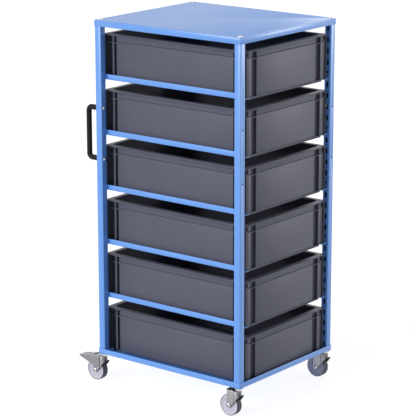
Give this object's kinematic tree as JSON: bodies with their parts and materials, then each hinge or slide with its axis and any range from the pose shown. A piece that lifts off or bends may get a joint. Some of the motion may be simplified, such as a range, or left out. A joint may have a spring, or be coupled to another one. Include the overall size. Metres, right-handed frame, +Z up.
{
  "type": "mobile bin cart",
  "caption": "Sheet-steel rack on swivel casters with slotted corner posts, angle rails that carry lift-off plastic bins, bow handles at the back and brake pedals.",
  "frame": {"origin": "on the floor, under the middle of the cart's outer box", "axes": "+Z up, +X to the front where the bins are drawn out, +Y to the cart's left"},
  "size_m": [0.485, 0.3656, 0.8671],
  "materials": {
    "blue_paint": "smooth semi-gloss powder coat, light blue",
    "grey_plastic": "moulded polypropylene, dark grey, faint grain",
    "black_plastic": "moulded nylon, black, satin",
    "zinc_steel": "zinc-plated pressed sheet",
    "bright_steel": "bright zinc-plated fasteners",
    "pale_plastic": "moulded wheel disc, pale grey",
    "dark_rubber": "solid rubber tread, dark grey"
  },
  "bodies": {
    "rack": {"top_tray": "blue_paint", "base_tray": "blue_paint", "post_back_right": "blue_paint", "post_front_right": "blue_paint", "post_front_left": "blue_paint", "post_back_left": "blue_paint", "tray_bolt_back_right": "bright_steel", "tray_bolt_front_right": "bright_steel", "tray_bolt_front_left": "bright_steel", "tray_bolt_back_left": "bright_steel", "rail_1_left": "blue_paint", "rail_1_right": "blue_paint", "rail_2_left": "blue_paint", "rail_2_right": "blue_paint", "rail_3_left": "blue_paint", "rail_3_right": "blue_paint", "rail_4_left": "blue_paint", "rail_4_right": "blue_paint", "rail_5_left": "blue_paint", "rail_5_right": "blue_paint", "handle_right": "black_plastic", "handle_screw_right_lower": "bright_steel", "handle_screw_right_upper": "bright_steel", "handle_left": "black_plastic", "handle_screw_left_lower": "bright_steel", "handle_screw_left_upper": "bright_steel", "caster_head_back_right": "bright_steel", "caster_head_front_right": "bright_steel", "caster_head_front_left": "bright_steel", "caster_head_back_left": "bright_steel"},
    "swivel_back_right": {"fork_back_right": "zinc_steel", "guard_back_right": "black_plastic", "axle_back_right": "bright_steel", "pedal_pin_back_right": "bright_steel"},
    "wheel_back_right": {"disc_back_right": "pale_plastic", "tyre_back_right": "dark_rubber"},
    "brake_back_right": {"pedal_back_right": "zinc_steel"},
    "swivel_front_right": {"fork_front_right": "zinc_steel", "guard_front_right": "black_plastic", "axle_front_right": "bright_steel"},
    "wheel_front_right": {"disc_front_right": "pale_plastic", "tyre_front_right": "dark_rubber"},
    "swivel_front_left": {"fork_front_left": "zinc_steel", "guard_front_left": "black_plastic", "axle_front_left": "bright_steel"},
    "wheel_front_left": {"disc_front_left": "pale_plastic", "tyre_front_left": "dark_rubber"},
    "swivel_back_left": {"fork_back_left": "zinc_steel", "guard_back_left": "black_plastic", "axle_back_left": "bright_steel", "pedal_pin_back_left": "bright_steel"},
    "wheel_back_left": {"disc_back_left": "pale_plastic", "tyre_back_left": "dark_rubber"},
    "brake_back_left": {"pedal_back_left": "zinc_steel"},
    "bin_1": {"bin_1": "grey_plastic"},
    "bin_2": {"bin_2": "grey_plastic"},
    "bin_3": {"bin_3": "grey_plastic"},
    "bin_4": {"bin_4": "grey_plastic"},
    "bin_5": {"bin_5": "grey_plastic"},
    "bin_6": {"bin_6": "grey_plastic"}
  },
  "joints": [
    {"name": "turn_back_right", "type": "hinge", "parent": "rack", "child": "swivel_back_right", "pos_m": [-0.17171, -0.17, 0.0604], "axis": [0, 0, 1], "continuous": true},
    {"name": "roll_back_right", "type": "hinge", "parent": "swivel_back_right", "child": "wheel_back_right", "pos_m": [-0.19371, -0.17, 0.025], "axis": [0, 1, 0], "continuous": true},
    {"name": "press_back_right", "type": "hinge", "parent": "swivel_back_right", "child": "brake_back_right", "pos_m": [-0.18971, -0.17, 0.0565], "axis": [0, -1, 0], "range_deg": [0, 8]},
    {"name": "turn_front_right", "type": "hinge", "parent": "rack", "child": "swivel_front_right", "pos_m": [0.22779, -0.17, 0.0604], "axis": [0, 0, 1], "continuous": true},
    {"name": "roll_front_right", "type": "hinge", "parent": "swivel_front_right", "child": "wheel_front_right", "pos_m": [0.20579, -0.17, 0.025], "axis": [0, 1, 0], "continuous": true},
    {"name": "turn_front_left", "type": "hinge", "parent": "rack", "child": "swivel_front_left", "pos_m": [0.22779, 0.17, 0.0604], "axis": [0, 0, 1], "continuous": true},
    {"name": "roll_front_left", "type": "hinge", "parent": "swivel_front_left", "child": "wheel_front_left", "pos_m": [0.20579, 0.17, 0.025], "axis": [0, 1, 0], "continuous": true},
    {"name": "turn_back_left", "type": "hinge", "parent": "rack", "child": "swivel_back_left", "pos_m": [-0.17171, 0.17, 0.0604], "axis": [0, 0, 1], "continuous": true},
    {"name": "roll_back_left", "type": "hinge", "parent": "swivel_back_left", "child": "wheel_back_left", "pos_m": [-0.19371, 0.17, 0.025], "axis": [0, 1, 0], "continuous": true},
    {"name": "press_back_left", "type": "hinge", "parent": "swivel_back_left", "child": "brake_back_left", "pos_m": [-0.18971, 0.17, 0.0565], "axis": [0, -1, 0], "range_deg": [0, 8]},
    {"name": "draw_bin_1", "type": "slide", "parent": "rack", "child": "bin_1", "axis": [1, 0, 0], "range_m": [0, 0.3]},
    {"name": "draw_bin_2", "type": "slide", "parent": "rack", "child": "bin_2", "axis": [1, 0, 0], "range_m": [0, 0.3]},
    {"name": "draw_bin_3", "type": "slide", "parent": "rack", "child": "bin_3", "axis": [1, 0, 0], "range_m": [0, 0.3]},
    {"name": "draw_bin_4", "type": "slide", "parent": "rack", "child": "bin_4", "axis": [1, 0, 0], "range_m": [0, 0.3]},
    {"name": "draw_bin_5", "type": "slide", "parent": "rack", "child": "bin_5", "axis": [1, 0, 0], "range_m": [0, 0.3]},
    {"name": "lift_bin_6", "type": "slide", "parent": "rack", "child": "bin_6", "axis": [0, 0, 1], "range_m": [0, 0.02]}
  ]
}
